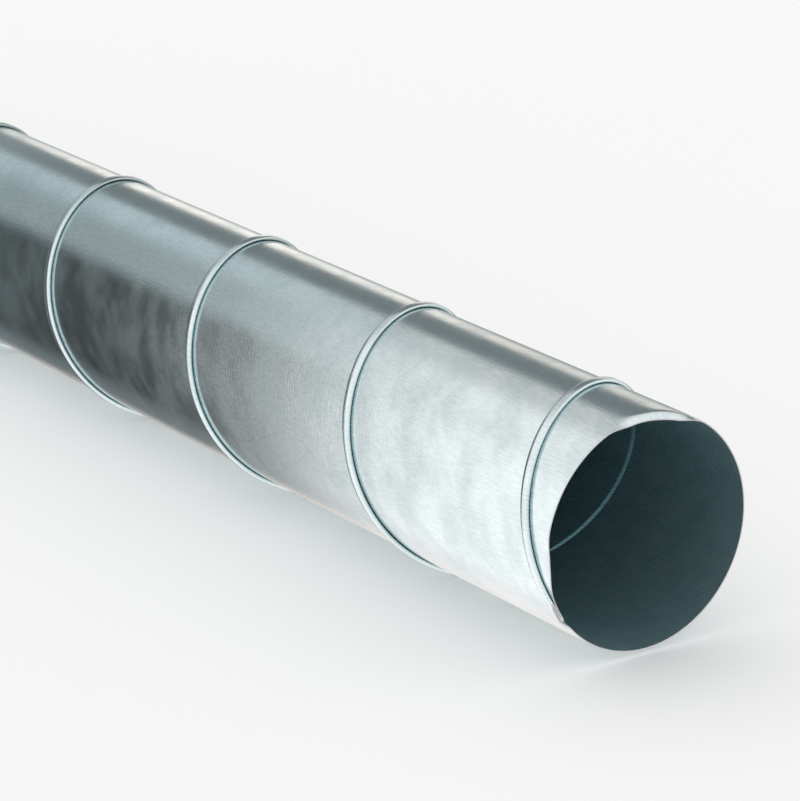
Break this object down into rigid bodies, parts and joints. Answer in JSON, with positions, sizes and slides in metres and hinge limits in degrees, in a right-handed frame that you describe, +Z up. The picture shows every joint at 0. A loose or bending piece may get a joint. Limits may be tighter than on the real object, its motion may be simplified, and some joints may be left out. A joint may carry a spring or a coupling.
{
  "type": "round spiral duct pipe",
  "caption": "Straight round spiral lock-seam duct of galvanised strip, open at both ends, that carries air in ventilation and takes fittings inside its ends.",
  "frame": {"origin": "centre of the bounding box's bottom: on the floor, under the middle of the lying duct", "axes": "+X along the duct towards the open end that the picture shows, +Y to its left, +Z up"},
  "size_m": [1, 0.1048, 0.1048],
  "materials": {
    "galvanised_steel": "satin galvanised, finely scratched"
  },
  "bodies": {
    "root": {"spiral_duct": "galvanised_steel"}
  },
  "joints": []
}
